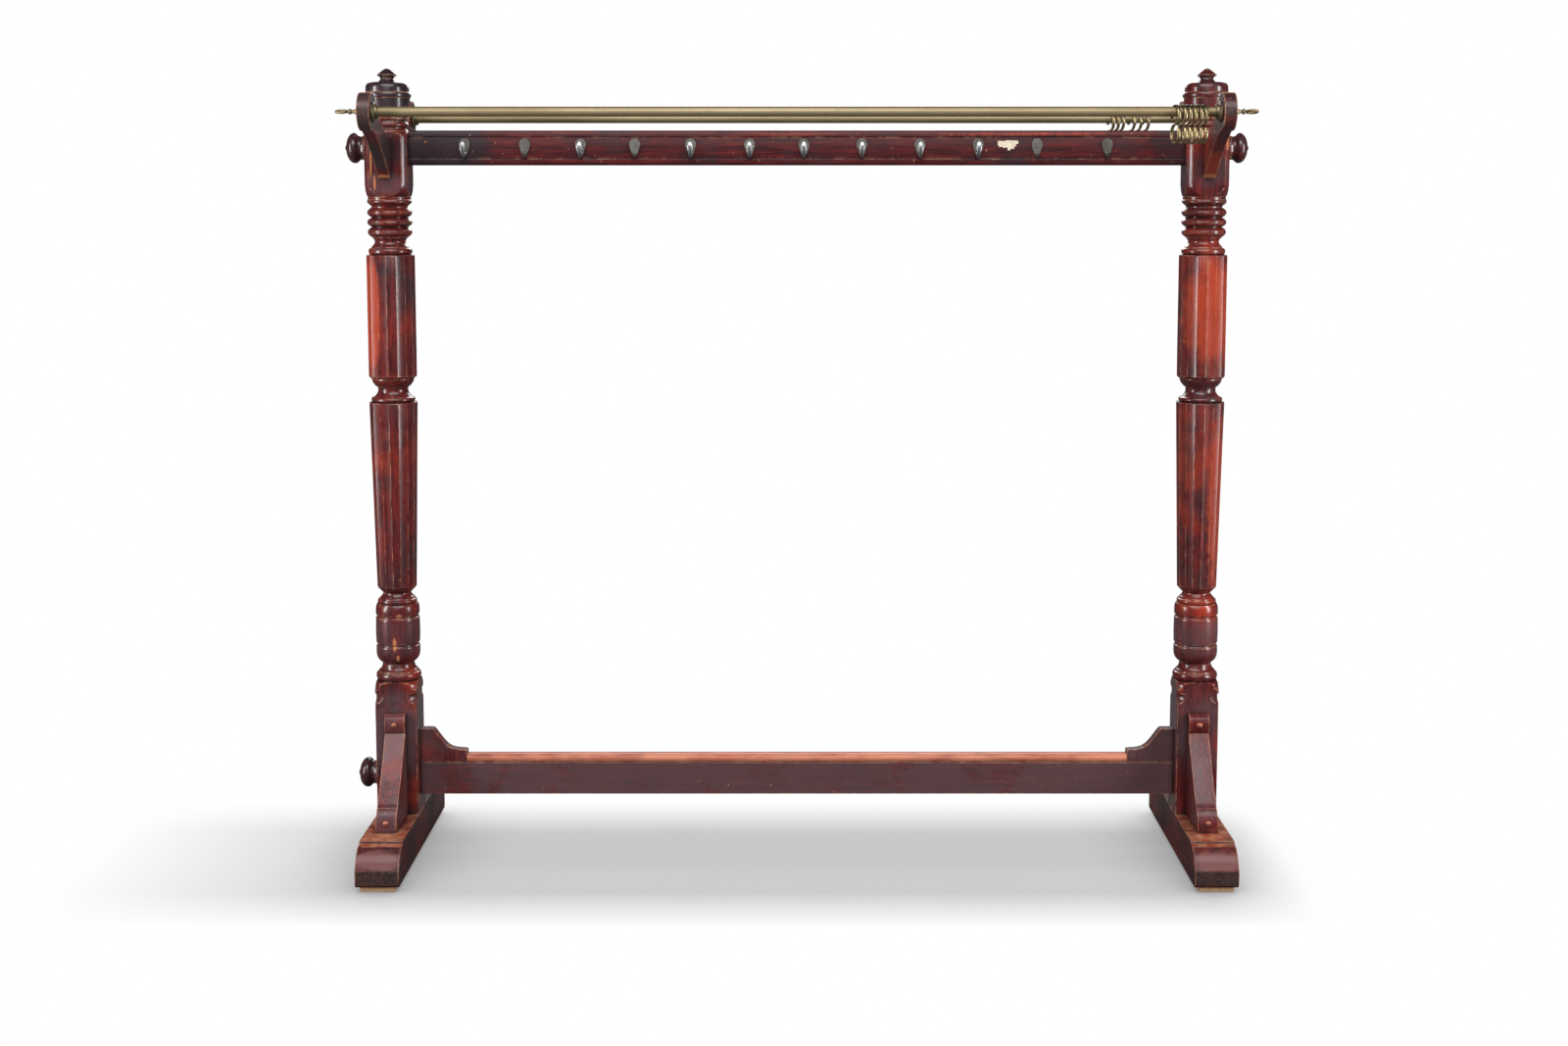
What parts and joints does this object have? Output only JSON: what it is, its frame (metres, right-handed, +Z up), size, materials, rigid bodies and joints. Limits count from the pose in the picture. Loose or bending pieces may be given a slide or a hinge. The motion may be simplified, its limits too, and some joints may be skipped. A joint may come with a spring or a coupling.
{
  "type": "robing stand",
  "caption": "Victorian mahogany robing stand: turned end posts on trestle feet, a rail of coat hooks, a low rail and two brass hanging rails with sliding S-hooks.",
  "frame": {"origin": "on the floor, under the middle of the stand", "axes": "+X along the rails, +Y to the rear (coat hooks face -Y), +Z up"},
  "size_m": [2.093, 0.61, 1.852],
  "materials": {
    "mahogany": "aged french polish, dark red",
    "pine": "bare",
    "brass": "aged, satin",
    "pewter": "worn nickel plate, dull grey"
  },
  "bodies": {
    "frame": {"left_post": "mahogany", "right_post": "mahogany", "left_post_finial": "mahogany", "right_post_finial": "mahogany", "left_foot": "mahogany", "right_foot": "mahogany", "top_rail": "mahogany", "bottom_rail": "mahogany", "bottom_rail_capping": "mahogany", "left_rail_bracket": "mahogany", "right_rail_bracket": "mahogany", "front_left_brace": "mahogany", "front_right_brace": "mahogany", "rear_left_brace": "mahogany", "rear_right_brace": "mahogany", "front_left_arm": "mahogany", "front_right_arm": "mahogany", "rear_left_arm": "mahogany", "rear_right_arm": "mahogany", "front_left_floor_pad": "pine", "front_right_floor_pad": "pine", "rear_left_floor_pad": "pine", "rear_right_floor_pad": "pine", "front_left_rose": "brass", "front_right_rose": "brass", "rear_left_rose": "brass", "rear_right_rose": "brass", "coat_hook_01": "pewter", "coat_hook_02": "pewter", "coat_hook_03": "pewter", "coat_hook_04": "pewter", "coat_hook_05": "pewter", "coat_hook_06": "pewter", "coat_hook_07": "pewter", "coat_hook_08": "pewter", "coat_hook_09": "pewter", "coat_hook_10": "pewter", "coat_hook_11": "pewter", "coat_hook_12": "pewter"},
    "front_rail": {"front_brass_rail": "brass", "front_left_rail_loop": "brass", "front_right_rail_loop": "brass"},
    "rear_rail": {"rear_brass_rail": "brass", "rear_left_rail_loop": "brass", "rear_right_rail_loop": "brass"},
    "front_hook_1": {"front_s_hook_1": "brass"},
    "front_hook_2": {"front_s_hook_2": "brass"},
    "front_hook_3": {"front_s_hook_3": "brass"},
    "front_hook_4": {"front_s_hook_4": "brass"},
    "front_hook_5": {"front_s_hook_5": "brass"},
    "front_hook_6": {"front_s_hook_6": "brass"},
    "rear_hook_1": {"rear_s_hook_1": "brass"},
    "rear_hook_2": {"rear_s_hook_2": "brass"},
    "rear_hook_3": {"rear_s_hook_3": "brass"},
    "rear_hook_4": {"rear_s_hook_4": "brass"},
    "rear_hook_5": {"rear_s_hook_5": "brass"},
    "rear_hook_6": {"rear_s_hook_6": "brass"},
    "left_top_knob": {"left_top_knob": "mahogany"},
    "right_top_knob": {"right_top_knob": "mahogany"},
    "left_bottom_knob": {"left_bottom_knob": "mahogany"}
  },
  "joints": [
    {"name": "front_rail_turn", "type": "hinge", "parent": "frame", "child": "front_rail", "pos_m": [0, -0.24, 1.745], "axis": [1, 0, 0], "continuous": true},
    {"name": "rear_rail_turn", "type": "hinge", "parent": "frame", "child": "rear_rail", "pos_m": [0, 0.24, 1.745], "axis": [1, 0, 0], "continuous": true},
    {"name": "front_hook_1_slide", "type": "slide", "parent": "frame", "child": "front_hook_1", "axis": [1, 0, 0], "range_m": [-1.741, 0.003]},
    {"name": "front_hook_2_slide", "type": "slide", "parent": "front_hook_1", "child": "front_hook_2", "axis": [1, 0, 0], "range_m": [-0.007, 0.003]},
    {"name": "front_hook_3_slide", "type": "slide", "parent": "front_hook_2", "child": "front_hook_3", "axis": [1, 0, 0], "range_m": [-0.003, 0.003]},
    {"name": "front_hook_4_slide", "type": "slide", "parent": "front_hook_3", "child": "front_hook_4", "axis": [1, 0, 0], "range_m": [-0.003, 0.003]},
    {"name": "front_hook_5_slide", "type": "slide", "parent": "front_hook_4", "child": "front_hook_5", "axis": [1, 0, 0], "range_m": [-0.005, 0.003]},
    {"name": "front_hook_6_slide", "type": "slide", "parent": "front_hook_5", "child": "front_hook_6", "axis": [1, 0, 0], "range_m": [-0.003, 0.003]},
    {"name": "rear_hook_1_slide", "type": "slide", "parent": "frame", "child": "rear_hook_1", "axis": [1, 0, 0], "range_m": [-1.672, 0.01]},
    {"name": "rear_hook_2_slide", "type": "slide", "parent": "rear_hook_1", "child": "rear_hook_2", "axis": [1, 0, 0], "range_m": [-0.004, 0.01]},
    {"name": "rear_hook_3_slide", "type": "slide", "parent": "rear_hook_2", "child": "rear_hook_3", "axis": [1, 0, 0], "range_m": [-0.004, 0.01]},
    {"name": "rear_hook_4_slide", "type": "slide", "parent": "rear_hook_3", "child": "rear_hook_4", "axis": [1, 0, 0], "range_m": [-0.018, 0.01]},
    {"name": "rear_hook_5_slide", "type": "slide", "parent": "rear_hook_4", "child": "rear_hook_5", "axis": [1, 0, 0], "range_m": [-0.008, 0.01]},
    {"name": "rear_hook_6_slide", "type": "slide", "parent": "rear_hook_5", "child": "rear_hook_6", "axis": [1, 0, 0], "range_m": [-0.01, 0.01]},
    {"name": "left_top_knob_turn", "type": "hinge", "parent": "frame", "child": "left_top_knob", "pos_m": [-1, 0, 1.67], "axis": [-1, 0, 0], "continuous": true},
    {"name": "right_top_knob_turn", "type": "hinge", "parent": "frame", "child": "right_top_knob", "pos_m": [1, 0, 1.67], "axis": [1, 0, 0], "continuous": true},
    {"name": "left_bottom_knob_turn", "type": "hinge", "parent": "frame", "child": "left_bottom_knob", "pos_m": [-1, 0, 0.192], "axis": [-1, 0, 0], "continuous": true}
  ]
}
